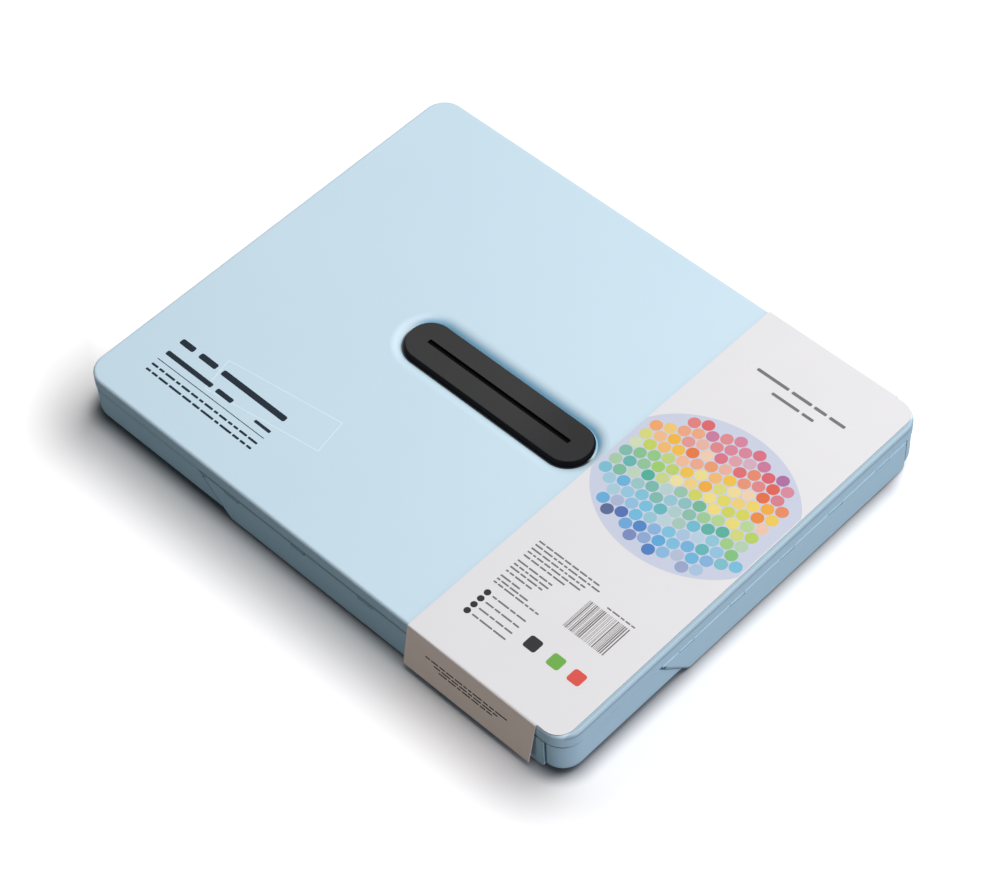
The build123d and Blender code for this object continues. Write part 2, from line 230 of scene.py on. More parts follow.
def make_paper_fibre():
    """Long soft fibres and a slow unevenness, for card and the ink on it."""
    tree, given, out = new_group(
        "paper_fibre", "ShaderNodeTree",
        [("Vector", "NodeSocketVector", None), ("Scale", "NodeSocketFloat", 900.0)],
        [("Fibre", "NodeSocketFloat"), ("Cloud", "NodeSocketFloat")],
    )
    stretched = put(
        tree, "ShaderNodeMapping",
        {"Vector": given.outputs["Vector"], "Scale": (1.0, 0.25, 1.0)},
    ).outputs[0]
    fibre = put(
        tree, "ShaderNodeTexNoise",
        {
            "Vector": stretched, "Scale": given.outputs["Scale"],
            "Detail": 5.0, "Distortion": 2.0,
        },
    ).outputs["Fac"]
    cloud = put(
        tree, "ShaderNodeTexNoise",
        {"Vector": given.outputs["Vector"], "Scale": 22.0, "Detail": 2.0},
    ).outputs["Fac"]
    tree.links.new(fibre, out.inputs["Fibre"])
    tree.links.new(cloud, out.inputs["Cloud"])
    return tree


MOULDED_SKIN = make_moulded_skin()
PAPER_FIBRE = make_paper_fibre()


def group_node(tree, group, inputs):
    return put(tree, "ShaderNodeGroup", inputs, node_tree=group).outputs


# ---- Materials ----

def moulded(
    name, low, high, roughness, spread=0.06, grain=0.02, scale=2600.0, tone=None, **more
):
    """A moulded plastic or rubber between two near colours, with a fine grain.

    tone(tree, place, plain) changes the colour from place to place.
    """
    made, tree, shader, place = new_material(name)
    skin = group_node(
        tree, MOULDED_SKIN,
        {
            "Vector": place, "Grain Scale": scale,
            "Roughness": roughness, "Roughness Spread": spread,
        },
    )
    bump = put(
        tree, "ShaderNodeBump",
        {"Height": skin["Height"], "Strength": grain, "Distance": 0.0001},
    ).outputs[0]
    plain = mix_colour(tree, skin["Mottle"], rgba(*low), rgba(*high))
    feed(
        tree, shader,
        {
            "Base Color": tone(tree, place, plain) if tone else plain,
            "Roughness": skin["Roughness"],
            "Normal": bump,
            **more,
        },
    )
    return made


SKIN_DEPTH = 0.04 * MM   # below the card's face by more than this is its cut edge
# The cut edges' colour: the card's grey core, darkened as painted shade of its edge
CUT_EDGE_CORE_AND_SHADE = rgba(0.10, 0.13, 0.15)


def cut_edge(tree, place):
    """1 below the top face of the flat part of the sleeve, where its cut edges are."""
    parts = split(tree, place)
    below = math_node(tree, "LESS_THAN", parts[2], CARD_TOP - SKIN_DEPTH)
    flat = math_node(tree, "LESS_THAN", math_node(tree, "ABSOLUTE", parts[1]), BEND_OUT)
    return math_node(tree, "MULTIPLY", below, flat)


def card(name, low, high, roughness):
    """Coated card with faint fibres, its cut edges dark: grey core and painted shade."""
    made, tree, shader, place = new_material(name)
    paper = group_node(tree, PAPER_FIBRE, {"Vector": place, "Scale": 900.0})
    bump = put(
        tree, "ShaderNodeBump",
        {"Height": paper["Fibre"], "Strength": 0.05, "Distance": 0.0001},
    ).outputs[0]
    face = mix_colour(tree, paper["Cloud"], rgba(*low), rgba(*high))
    feed(
        tree, shader,
        {
            "Base Color": mix_colour(tree, cut_edge(tree, place), face, CUT_EDGE_CORE_AND_SHADE),
            "Roughness": math_node(tree, "MULTIPLY_ADD", paper["Fibre"], 0.08, roughness),
            "Specular IOR Level": 0.35,
            "Normal": bump,
        },
    )
    return made


def ink(name, colour):
    """Printed ink that lets a little of the paper's unevenness through."""
    made, tree, shader, place = new_material(name)
    paper = group_node(tree, PAPER_FIBRE, {"Vector": place, "Scale": 1500.0})
    thin = [0.97 * part + 0.004 for part in colour]
    feed(
        tree, shader,
        {
            "Base Color": mix_colour(tree, paper["Fibre"], rgba(*colour), rgba(*thin)),
            "Roughness": math_node(tree, "MULTIPLY_ADD", paper["Cloud"], 0.1, 0.45),
            "Specular IOR Level": 0.15,
        },
    )
    return made


def brushed_metal(name):
    made, tree, shader, place = new_material(name)
    lines = put(
        tree, "ShaderNodeTexNoise",
        {
            "Vector": put(
                tree, "ShaderNodeMapping", {"Vector": place, "Scale": (0.1, 1.0, 1.0)}
            ).outputs[0],
            "Scale": 5000.0, "Detail": 3.0,
        },
    ).outputs["Fac"]
    feed(
        tree, shader,
        {
            "Base Color": mix_colour(
                tree, lines, rgba(0.46, 0.46, 0.48), rgba(0.62, 0.62, 0.63)
            ),
            "Metallic": 1.0,
            "Roughness": math_node(tree, "MULTIPLY_ADD", lines, 0.15, 0.25),
        },
    )
    return made


PAINT_STOPS = [
    (0.00, rgba(0.32, 0.10, 0.42)), (0.09, rgba(0.62, 0.08, 0.24)),
    (0.18, rgba(0.80, 0.07, 0.05)), (0.27, rgba(0.90, 0.25, 0.04)),
    (0.36, rgba(0.92, 0.58, 0.06)), (0.45, rgba(0.78, 0.74, 0.12)),
    (0.54, rgba(0.16, 0.52, 0.16)), (0.63, rgba(0.05, 0.46, 0.38)),
    (0.72, rgba(0.08, 0.42, 0.66)), (0.81, rgba(0.06, 0.16, 0.52)),
    (0.90, rgba(0.26, 0.17, 0.11)), (1.00, rgba(0.20, 0.22, 0.25)),
]


def cup_paint(name):
    """Soft paint whose colour steps from cup to cup along the rows and columns."""
    made, tree, shader, place = new_material(name)
    parts = split(tree, place)
    size = RACK_HIGH - RACK_LOW
    column, row = (
        math_node(
            tree, "FLOOR",
            product(tree, math_node(tree, "SUBTRACT", part, low), count / length),
        )
        for part, low, length, count in (
            (parts[0], RACK_LOW.x, size.x, CUP_COLUMNS),
            (parts[1], RACK_LOW.y, size.y, CUP_ROWS),
        )
    )
    cell_key = put(tree, "ShaderNodeCombineXYZ", {"X": column, "Y": row}).outputs[0]
    chance = put(tree, "ShaderNodeTexWhiteNoise", {"Vector": cell_key}).outputs["Value"]
    along = math_node(tree, "DIVIDE", column, CUP_COLUMNS - 1)
    along = math_node(tree, "MULTIPLY_ADD", chance, 0.06, along)
    hue = ramp(tree, along, PAINT_STOPS)
    tint = math_node(tree, "MULTIPLY", math_node(tree, "DIVIDE", row, CUP_ROWS - 1), 0.72)
    pale = mix_colour(tree, tint, hue, rgba(0.92, 0.90, 0.86))
    swirl = put(
        tree, "ShaderNodeTexNoise",
        {"Vector": place, "Scale": 160.0, "Detail": 4.0, "Distortion": 2.5},
    ).outputs["Fac"]
    bump = put(
        tree, "ShaderNodeBump", {"Height": swirl, "Strength": 0.5, "Distance": 0.0008}
    ).outputs[0]
    feed(
        tree, shader,
        {
            "Base Color": pale,
            "Roughness": math_node(tree, "MULTIPLY_ADD", swirl, 0.2, 0.3),
            "Normal": bump,
        },
    )
    return made


def peel_film(name):
    """Thin clear film, slightly crinkled."""
    made, tree, shader, place = new_material(name)
    crinkle = put(
        tree, "ShaderNodeTexNoise", {"Vector": place, "Scale": 220.0, "Detail": 3.0}
    ).outputs["Fac"]
    bump = put(
        tree, "ShaderNodeBump", {"Height": crinkle, "Strength": 0.25, "Distance": 0.0003}
    ).outputs[0]
    feed(
        tree, shader,
        {
            "Base Color": rgba(0.92, 0.93, 0.94),
            "Roughness": math_node(tree, "MULTIPLY_ADD", crinkle, 0.15, 0.12),
            "Alpha": math_node(tree, "MULTIPLY_ADD", crinkle, 0.08, 0.10),
            "Normal": bump,
        },
    )
    return made


# Colours of painted shade in the seam, on the +X rim, in the dish and on the grip,
# and the case's own blue, which the lid's skirt takes.
SEAM_SHADE = rgba(0.12, 0.20, 0.25)
SKIRT_BLUE = rgba(0.445, 0.660, 0.775)
RIM_SHADE = rgba(0.27, 0.40, 0.48)
DISH_SHADE = rgba(0.27, 0.56, 0.78)
GRIP_FOOT_SHADOW = rgba(0.010, 0.014, 0.018)
GRIP_SIDE_SHADE = rgba(0.002, 0.002, 0.003)


def case_tone(tree, place, plain):
    """The case's colour, with painted shade in the seam under the lid, but not on +X."""
    parts = split(tree, place)
    # Painted shade in a band along the seam, left off the lit +X side
    seam = product(
        tree,
        step_between(tree, parts[2], SEAM - 1.4 * MM, SEAM - 0.5 * MM),
        step_between(tree, parts[2], SEAM + 1.3 * MM, SEAM + 0.3 * MM),
        step_between(tree, parts[0], RIM.x - 1 * MM, RIM.x - 6 * MM),
        0.9,
    )
    return mix_colour(tree, seam, plain, SEAM_SHADE)


def lid_tone(tree, place, plain):
    """The same, with the tub's own blue on the skirt below the lid's painted sheen,
    painted shade on the +X rim that softens its highlight, painted shade in deep blue
    behind the handle in its dish and a painted shadow along the handle's front, where
    the dish ends."""
    parts = split(tree, place)
    away = hypotenuse(tree, beyond(tree, parts[0], GRIP.x - GRIP.y), parts[1])
    sunk = step_between(tree, parts[2], LID_TOP - 0.02 * MM, LID_TOP - 2.4 * MM)
    # Painted shade in deep blue on the dish's slope behind the handle
    dish = product(
        tree, sunk,
        step_between(tree, away, GRIP.y + 16 * MM, GRIP.y + 12 * MM),
        step_between(tree, parts[1], 2 * MM, 14 * MM),
    )
    # A painted shadow in a narrow ring on the dish's floor, along the grip's front
    grip_foot_shadow = product(
        tree, sunk,
        step_between(tree, away, GRIP.y + 1.8 * MM, GRIP.y + 0.8 * MM),
        step_between(tree, parts[1], 4 * MM, -2 * MM),
    )
    # Painted shade that softens the highlight on the +X rim
    rim = product(
        tree,
        step_between(tree, parts[0], RIM.x - 5 * MM, RIM.x - 3 * MM),
        step_between(tree, parts[2], LID_TOP - 4.5 * MM, LID_TOP - 1.5 * MM),
        0.85,
    )
    # The skirt takes back the case's own blue, below the lid's painted sheen
    skirt = product(
        tree,
        step_between(tree, parts[2], LID_TOP - 0.8 * MM, LID_TOP - 2.5 * MM),
        step_between(tree, away, GRIP.y + 18 * MM, GRIP.y + 22 * MM),
    )
    made = mix_colour(tree, skirt, plain, SKIRT_BLUE)
    made = case_tone(tree, place, made)
    made = mix_colour(tree, rim, made, RIM_SHADE)
    made = mix_colour(tree, dish, made, DISH_SHADE)
    return mix_colour(tree, grip_foot_shadow, made, GRIP_FOOT_SHADOW)


def grip_tone(tree, place, plain):
    """The grip's colour: its top keeps the rubber's grey, with a little painted shade
    towards the +X end, and its sides are painted black as shade."""
    parts = split(tree, place)
    # Painted shade: black on the sides, and partly on the top towards the +X end
    unshaded_top = step_between(tree, parts[2], GRIP.z - 0.45 * MM, GRIP.z - 0.02 * MM)
    end_shade = product(tree, step_between(tree, parts[0], 10 * MM, GRIP.x - 8 * MM), 0.32)
    unshaded_top = product(tree, unshaded_top, math_node(tree, "SUBTRACT", 1.0, end_shade))
    return mix_colour(tree, unshaded_top, GRIP_SIDE_SHADE, plain)


LOCK_SLANT = 0.92   # how far a lock's slanted end runs along its side for each step down


def lock_tone(side, axis, hand):
    """The tone of this side's lock: the case's, with painted shade along its slanted end."""
    low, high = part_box(f"lock_{side}")
    start = low[axis] if hand > 0 else -high[axis]
    pin_low, pin_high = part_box(f"hinge_pin_{side}")
    corner = (pin_low.z + pin_high.z) / 2

    def tone(tree, place, plain):
        parts = split(tree, place)
        along = math_node(tree, "MULTIPLY_ADD", parts[axis], hand, -start)
        below = math_node(tree, "SUBTRACT", corner, parts[2])
        inside = math_node(tree, "MULTIPLY_ADD", below, -LOCK_SLANT, along)
        # Painted shade along the lock's slanted end
        end = product(tree, step_between(tree, inside, 1.3 * MM, 0.6 * MM), 0.6)
        return mix_colour(tree, end, case_tone(tree, place, plain), SEAM_SHADE)

    return tone


def blue_plastic(name, tone):
    return moulded(
        name, (0.430, 0.648, 0.768), (0.460, 0.672, 0.788), 0.40,
        tone=tone, **{"Coat Weight": 0.1, "Coat Roughness": 0.35},
    )


case_plastic = blue_plastic("pale_blue_plastic", case_tone)
lock_plastic = {
    side: blue_plastic(f"pale_blue_{side}_lock_plastic", lock_tone(side, axis, hand))
    for side, axis, hand in (
        ("front", 0, 1), ("right", 1, 1), ("back", 0, -1), ("left", 1, -1)
    )
}
# The lid's plastic is paler than the case's own blue: a painted sheen on the lid's top
lid_painted_sheen_plastic = moulded(
    "pale_blue_lid_plastic", (0.540, 0.700, 0.800), (0.570, 0.725, 0.820), 0.40,
    tone=lid_tone, **{"Coat Weight": 0.1, "Coat Roughness": 0.35},
)
rack_plastic = moulded("white_plastic", (0.78, 0.79, 0.80), (0.82, 0.83, 0.84), 0.42)
cup_plastic = moulded(
    "milky_cup_plastic", (0.80, 0.82, 0.83), (0.84, 0.86, 0.87), 0.28,
    **{"Subsurface Weight": 0.2, "Subsurface Scale": 0.002},
)
gasket_rubber = moulded(
    "white_seal_rubber", (0.70, 0.72, 0.73), (0.75, 0.77, 0.78), 0.6, grain=0.1
)
grip_rubber = moulded(
    "black_grip_rubber", (0.036, 0.036, 0.037), (0.050, 0.050, 0.051), 0.55,
    spread=0.12, grain=0.25, scale=3400.0, tone=grip_tone, **{"Specular IOR Level": 0.06},
)
handle_plastic = moulded(
    "black_plastic", (0.002, 0.002, 0.003), (0.004, 0.004, 0.004), 0.85,
    **{"Specular IOR Level": 0.12},
)
fastener_steel = brushed_metal("brushed_steel")
sleeve_card = card("white_card", (0.728, 0.718, 0.728), (0.758, 0.748, 0.756), 0.42)
# The front flap's card is brighter and warmer than the sleeve's own card: painted light for how
# the flap looks in shade
flap_card_painted_light = card("front_flap_card_painted_light", (0.95, 0.77, 0.66), (0.98, 0.80, 0.69), 0.5)
film_plastic = peel_film("peel_film")
paint = cup_paint("soft_paint")
dark_ink = ink("dark_ink", (0.006, 0.015, 0.027))
grey_ink = ink("grey_ink", (0.17, 0.17, 0.19))
black_ink = ink("black_ink", (0.022, 0.022, 0.026))
pale_ink = ink("pale_ink", (0.72, 0.87, 0.92))
green_ink = ink("green_ink", (0.16, 0.42, 0.07))
red_ink = ink("red_ink", (0.72, 0.09, 0.07))
palette_ink = ink("palette_ink", (0.58, 0.62, 0.74))
bar_ink = ink("bar_ink", (0.17, 0.15, 0.145))

NODE_LOOKS = {
    "base_shell": case_plastic, "lid_shell": lid_painted_sheen_plastic,
    "cup_rack": rack_plastic, "lid_gasket": gasket_rubber,
    "handle_grip": grip_rubber, "handle_core": handle_plastic,
    "handle_stop_plate": handle_plastic, "handle_screws": fastener_steel,
    "sleeve_top": sleeve_card, "sleeve_flap_front": flap_card_painted_light,
    "sleeve_flap_back": sleeve_card,
}
for side, look in lock_plastic.items():
    NODE_LOOKS[f"lock_{side}"] = look
    NODE_LOOKS[f"hinge_pin_{side}"] = fastener_steel
for row in range(1, CUP_ROWS + 1):
    NODE_LOOKS[f"cups_row_{row}"] = cup_plastic
    NODE_LOOKS[f"paints_row_{row}"] = paint
    NODE_LOOKS[f"films_row_{row}"] = film_plastic
for name, look in NODE_LOOKS.items():
    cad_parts[name].data.materials.clear()
    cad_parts[name].data.materials.append(look)


# ---- Print: thin closed slabs that lie on the lid and on the card ----

PRINT_RISE = 0.03 * MM
PRINT_BASE = 0.005 * MM
CORNER_STEPS = 4
DISC_STEPS = 28
FLAT_LID = Matrix.Translation((0, 0, LID_TOP))
FLAT_CARD = Matrix.Translation((0, 0, CARD_TOP))


def rounded_box(x0, x1, y0, y1, radius):
    """Outline of a rectangle with rounded corners."""
    points = []
    for index, (cx, cy) in enumerate(
        ((x1 - radius, y1 - radius), (x0 + radius, y1 - radius),
         (x0 + radius, y0 + radius), (x1 - radius, y0 + radius))
    ):
        for step in range(CORNER_STEPS + 1):
            turn = math.radians(90 * index + 90 * step / CORNER_STEPS)
            points.append((cx + radius * math.cos(turn), cy + radius * math.sin(turn)))
    return points


def bar(x0, x1, y, height):
    """Outline of a bar that stands for a word."""
    return rounded_box(x0, x1, y - height / 2, y + height / 2, 0.3 * height)


def bars(y, height, *spans):
    """Outlines of the bars in one line."""
    return [bar(x0, x1, y, height) for x0, x1 in spans]


def round_outline(x, y, half_x, half_y, steps):
    """Outline of a disc or an oval about a middle point."""
    turns = [math.tau * step / steps for step in range(steps)]
    return [(x + half_x * math.cos(turn), y + half_y * math.sin(turn)) for turn in turns]


def stroke(start, end, width):
    """Outline of a straight line with square ends."""
    a, b = Vector(start), Vector(end)
    along = (b - a).normalized() * width / 2
    side = Vector((-along.y, along.x))
    return [a - along - side, b + along - side, b + along + side, a - along + side]


def frame_sides(corners, width):
    """Outlines of a thin frame's sides, which meet at mitred corners."""
    outer = [Vector(corner) for corner in corners]
    inner = []
    for index, corner in enumerate(outer):
        ahead = (outer[(index + 1) % len(outer)] - corner).normalized()
        behind = (outer[index - 1] - corner).normalized()
        inner.append(corner + (ahead + behind) * width / abs(ahead.cross(behind)))
    return [
        [outer[index - 1], outer[index], inner[index], inner[index - 1]]
        for index in range(len(outer))
    ]


def print_slab(name, outlines, place, body, look, top=PRINT_RISE):
    """One piece of print from closed outlines in millimetres, as solid slabs."""
    mesh = bpy.data.meshes.new(name)
    shape = bmesh.new()
    for outline in outlines:
        low, high = (
            [shape.verts.new(place @ Vector((x * MM, y * MM, rise))) for x, y in outline]
            for rise in (PRINT_BASE, top)
        )
        shape.faces.new(high)
        shape.faces.new(list(reversed(low)))
        for index in range(len(outline)):
            after = (index + 1) % len(outline)
            shape.faces.new((low[index], low[after], high[after], high[index]))
    shape.to_mesh(mesh)
    shape.free()
    mesh.materials.append(look)
    piece = new_object(name, mesh)
    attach(piece, body)


def sleeve_print(name, outlines, look):
    print_slab(name, outlines, FLAT_CARD, "sleeve", look)


def word_row(chance, x0, x1, y, height, shortest=3.0, longest=11.0, gap=1.3):
    """Bars of uneven length that fill a line as words do."""
    words, x = [], x0
    while x1 - x > shortest:
        end = min(x + chance.uniform(shortest, longest), x1)
        if x1 - end < shortest + gap:
            end = x1
        words.append(bar(x, end, y, height))
        x = end + gap
    return words


# The layout of all print is in millimetres from the middle of the case. The seeds set
# the uneven word lengths.
LID_SEED, SLEEVE_SEED, FLAP_SEED = 7, 11, 3

# The lid's print: two bold lines, a short word, a rule and two fine lines
chance = random.Random(LID_SEED)
lid_lines = bars(-101.0, 4.4, (-172, -160), (-155, -140), (-135, -79.5))
lid_lines += bars(-113.0, 3.6, (-172, -131.5), (-127.5, -113.5))
lid_lines += bars(-113.8, 2.2, (-93, -79.5))
lid_lines += [stroke((-172.3, -120.2), (-79.2, -119.6), 0.55)]
lid_lines += word_row(chance, -172.3, -79, -125.1, 1.6)
lid_lines += word_row(chance, -172.0, -79, -130.1, 1.6)
print_slab("lid_text_bars", lid_lines, FLAT_LID, "lid", dark_ink)

# Thin tilted frame behind the lines
corners = [(-139.2, -92.0), (-133.8, -117.3), (-47.8, -104.6), (-52.3, -79.6)]
print_slab(
    "lid_thin_frame", frame_sides(corners, 0.6), FLAT_LID, "lid",
    pale_ink, top=PRINT_RISE / 2,
)

# The sleeve's print: a title, fine lines, dots with a line beside each, stripes and
# three squares
title = bars(117.6, 2.3, (103.8, 128.5), (131, 146.2), (148.3, 157.6), (160, 171.8))
title += bars(109.0, 2.1, (122.5, 143.6), (145.9, 154.6))
sleeve_print("sleeve_title_bars", title, grey_ink)

FINE_START = 94.5
DOT_LEVELS = [-110.6 - 5.55 * index for index in range(4)]
chance = random.Random(SLEEVE_SEED)
fine = []
for y, length in (
    (-64.3, 47), (-67.5, 50), (-70.8, 42), (-74.0, 41), (-77.3, 32),
    (-82.3, 27), (-85.5, 27), (-88.5, 25), (-92.0, 20),
    (-96.5, 15), (-99.5, 24), (-102.3, 35),
):
    fine += word_row(chance, FINE_START, FINE_START + length, y, 1.15, 2.0, 8.0, 0.9)
for y in DOT_LEVELS:
    fine += word_row(chance, 101.5, 127.5, y, 1.15, 3.0, 10.0, 0.9)
fine += word_row(chance, 155.0, 176.2, -72.4, 1.0, 2.0, 6.0, 0.8)
sleeve_print("sleeve_fine_bars", fine, grey_ink)

dots = [round_outline(97.5, y, 2.2, 2.2, DISC_STEPS) for y in DOT_LEVELS]
sleeve_print("sleeve_dots", dots, black_ink)

STRIPES_START, STRIPES_END = 144.6, 175.6
STRIPES_LOW, STRIPES_HIGH = -98.4, -75.2
stripes, x = [], STRIPES_START
while x < STRIPES_END:
    end = x + chance.choice((0.3, 0.3, 0.5, 0.8))
    stripes.append(
        [(x, STRIPES_LOW), (end, STRIPES_LOW), (end, STRIPES_HIGH), (x, STRIPES_HIGH)]
    )
    x = end + chance.choice((0.5, 0.6, 1.0))
sleeve_print("sleeve_stripes", stripes, bar_ink)

SQUARE_HALF, SQUARE_ROUND = 4.6, 1.8
SQUARE_LOW, SQUARE_HIGH = -123.5, -114.3
for name, x, look in (
    ("sleeve_square_dark", 141.0, black_ink),
    ("sleeve_square_green", 158.8, green_ink),
    ("sleeve_square_red", 174.6, red_ink),
):
    square = rounded_box(
        x - SQUARE_HALF, x + SQUARE_HALF, SQUARE_LOW, SQUARE_HIGH, SQUARE_ROUND
    )
    sleeve_print(name, [square], look)


# ---- The sleeve's picture: dabs of paint on a pale oval, made with Geometry Nodes ----

OVAL_CENTRE = Vector((139.0, 21.0))
OVAL_HALF = Vector((66.0, 56.0))
OVAL_STEPS = 96
PICTURE_START, PICTURE_END = CARD_START / MM + 0.02, 195.8   # cut off the oval's ends
oval = [
    (min(max(x, PICTURE_START), PICTURE_END), y)
    for x, y in round_outline(*OVAL_CENTRE, *OVAL_HALF, OVAL_STEPS)
]
sleeve_print("sleeve_oval", [oval], palette_ink)

DAB_PITCH = 8.6 * MM
DAB_RADIUS = 4.05 * MM
DAB_SEED = 5
DAB_SIDES = 24
ROW_SHARE = 0.866    # rows of a honeycomb lie this share of the pitch apart
GRID_CELLS = 18
GRID_TURN = math.radians(-32)
RIM_RADII = 1.5      # a dab's middle stays this many radii inside the oval
CARD_CLEAR = 1.2     # and its edge this many millimetres inside the picture's ends
HUE_MIDDLE, HUE_UP, HUE_ALONG = 0.5, 0.44, 0.06
HUE_WANDER = 0.09
MOST_TINT = 0.5
DAB_STOPS = [
    (0.00, rgba(0.10, 0.12, 0.20)), (0.08, rgba(0.05, 0.13, 0.42)),
    (0.18, rgba(0.08, 0.32, 0.64)), (0.28, rgba(0.16, 0.48, 0.66)),
    (0.38, rgba(0.06, 0.38, 0.26)), (0.48, rgba(0.28, 0.56, 0.12)),
    (0.58, rgba(0.80, 0.64, 0.06)), (0.68, rgba(0.82, 0.30, 0.03)),
    (0.78, rgba(0.66, 0.06, 0.05)), (0.88, rgba(0.62, 0.18, 0.28)),
    (1.00, rgba(0.22, 0.09, 0.34)),
]


def dab_ink(name):
    """Ink of the dabs: a colour that runs up the picture, each dab its own tint."""
    made, tree, shader, place = new_material(name)
    key = put(
        tree, "ShaderNodeAttribute", attribute_type="GEOMETRY", attribute_name="dab_key"
    ).outputs["Vector"]
    hue_key, tint, _ = split(tree, key)
    hue = ramp(tree, hue_key, DAB_STOPS)
    pale = mix_colour(tree, tint, hue, rgba(0.80, 0.78, 0.76))
    feed(
        tree, shader,
        {
            "Base Color": pale,
            "Roughness": math_node(tree, "MULTIPLY_ADD", tint, 0.1, 0.4),
            "Specular IOR Level": 0.25,
        },
    )
    return made


def dab_tree(look):
    """Rows of round dabs inside an oval, with a key for each dab's colour."""
    tree, given, out = new_group(
        "paint_dabs", "GeometryNodeTree",
        [
            ("Pitch", "NodeSocketFloat", DAB_PITCH),
            ("Dab Radius", "NodeSocketFloat", DAB_RADIUS),
            ("Half Length", "NodeSocketFloat", OVAL_HALF.x * MM),
            ("Half Width", "NodeSocketFloat", OVAL_HALF.y * MM),
            ("Thickness", "NodeSocketFloat", PRINT_RISE),
            ("Seed", "NodeSocketInt", DAB_SEED),
        ],
        [("Geometry", "NodeSocketGeometry")],
    )
    pitch, radius, half_length, half_width, thickness, seed, _ = given.outputs

    def calc(operation, *values):
        return math_node(tree, operation, *values)

    def random_value(low, high, seed):
        return put(
            tree, "FunctionNodeRandomValue", {2: low, 3: high, "Seed": seed},
            data_type="FLOAT",
        ).outputs[1]

    # A square grid, with every second row moved by half a pitch, turned
    span = calc("MULTIPLY", pitch, GRID_CELLS)
    grid = put(
        tree, "GeometryNodeMeshGrid",
        {
            "Size X": span, "Size Y": calc("MULTIPLY", span, ROW_SHARE),
            "Vertices X": GRID_CELLS + 1, "Vertices Y": GRID_CELLS + 1,
        },
    ).outputs["Mesh"]
    x, y, _ = split(tree, put(tree, "GeometryNodeInputPosition").outputs[0])
    row = calc("ROUND", calc("DIVIDE", y, calc("MULTIPLY", pitch, ROW_SHARE)))
    shift = calc(
        "MULTIPLY", calc("FLOORED_MODULO", row, 2.0), calc("MULTIPLY", pitch, 0.5)
    )
    offset = put(tree, "ShaderNodeCombineXYZ", {"X": shift}).outputs[0]
    moved = put(
        tree, "GeometryNodeSetPosition", {"Geometry": grid, "Offset": offset}
    ).outputs[0]
    turned = put(
        tree, "GeometryNodeTransform",
        {"Geometry": moved, "Rotation": (0.0, 0.0, GRID_TURN)},
    ).outputs[0]

    # Only the dabs that lie inside the oval and the picture's ends are kept
    rim = calc("MULTIPLY", radius, RIM_RADII)
    u = calc("DIVIDE", x, calc("SUBTRACT", half_length, rim))
    v = calc("DIVIDE", y, calc("SUBTRACT", half_width, rim))
    reach = calc("ADD", calc("MULTIPLY", u, u), calc("MULTIPLY", v, v))
    left = (CARD_START / MM + CARD_CLEAR - OVAL_CENTRE.x) * MM
    right = (PICTURE_END - CARD_CLEAR - OVAL_CENTRE.x) * MM
    past_left = calc("LESS_THAN", x, calc("ADD", radius, left))
    past_right = calc("GREATER_THAN", x, calc("SUBTRACT", right, radius))
    outside = calc(
        "MAXIMUM", calc("GREATER_THAN", reach, 1.0), calc("MAXIMUM", past_left, past_right)
    )
    kept = put(
        tree, "GeometryNodeDeleteGeometry", {"Geometry": turned, "Selection": outside},
        domain="POINT",
    ).outputs[0]

    # The hue runs up the picture and wanders a little, and the tint is a dab's own
    key_hue = calc(
        "ADD", calc("MULTIPLY_ADD", v, HUE_UP, HUE_MIDDLE), calc("MULTIPLY", u, HUE_ALONG)
    )
    tint = random_value(0.0, 1.0, seed)
    tint = calc("MULTIPLY", calc("POWER", tint, 2.0), MOST_TINT)
    wander = random_value(-HUE_WANDER, HUE_WANDER, calc("ADD", seed, 1.0))
    key = put(
        tree, "ShaderNodeCombineXYZ", {"X": calc("ADD", key_hue, wander), "Y": tint}
    ).outputs[0]
    keyed = put(
        tree, "GeometryNodeStoreNamedAttribute",
        {"Geometry": kept, "Name": "dab_key", "Value": key},
        data_type="FLOAT_VECTOR", domain="POINT",
    ).outputs[0]
    dab = put(
        tree, "GeometryNodeMeshCylinder",
        {"Vertices": DAB_SIDES, "Radius": radius, "Depth": thickness},
        fill_type="NGON",
    ).outputs["Mesh"]
    placed = put(
        tree, "GeometryNodeInstanceOnPoints", {"Points": keyed, "Instance": dab}
    ).outputs[0]
    real = put(tree, "GeometryNodeRealizeInstances", {"Geometry": placed}).outputs[0]
    shown = put(
        tree, "GeometryNodeSetMaterial", {"Geometry": real, "Material": look}
    ).outputs[0]
    tree.links.new(shown, out.inputs["Geometry"])
    return tree


def grown(name, tree, inputs, body, shift):
    """The plain mesh that a Geometry Nodes tree makes, moved to its place."""
    holder = new_object(name + "_holder", bpy.data.meshes.new(name + "_empty"))
    modifier = holder.modifiers.new("grow", "NODES")
    modifier.node_group = tree
    for item in tree.interface.items_tree:
        if item.item_type == "SOCKET" and item.in_out == "INPUT" and item.name in inputs:
            modifier[item.identifier] = inputs[item.name]
    depsgraph = bpy.context.evaluated_depsgraph_get()
    mesh = bpy.data.meshes.new_from_object(
        holder.evaluated_get(depsgraph), depsgraph=depsgraph
    )
    holder.modifiers.remove(modifier)
    bpy.data.objects.remove(holder)
    mesh.name = name
    for vertex in mesh.vertices:
        vertex.co += shift
    piece = new_object(name, mesh)
    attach(piece, body)


grown(
    "sleeve_dabs", dab_tree(dab_ink("dab_ink")), {"Seed": DAB_SEED}, "sleeve",
    Vector((OVAL_CENTRE.x * MM, OVAL_CENTRE.y * MM, CARD_TOP + PRINT_RISE * 1.6)),
)


# ---- The sleeve's flaps: print on the front one, and the crease of each ----

# How the flaps hang from the card's bend
FOLD_GAP = 0.3 * MM
CREASE_LAP = 4.0
CREASE_RISE = 0.012 * MM
CREASE_STEPS = 16
FLAP_ANGLE = math.radians(9.0)
FLAP_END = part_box("sleeve_flap_front")[1].x


def on_bend(hand, radius, angle):
    """A place on the card's bend, at an angle in degrees above straight out."""
    turn = math.radians(angle)
    return Vector(
        (0, -hand * (BEND_OUT + radius * math.cos(turn)), BEND_HEIGHT + radius * math.sin(turn))
    )


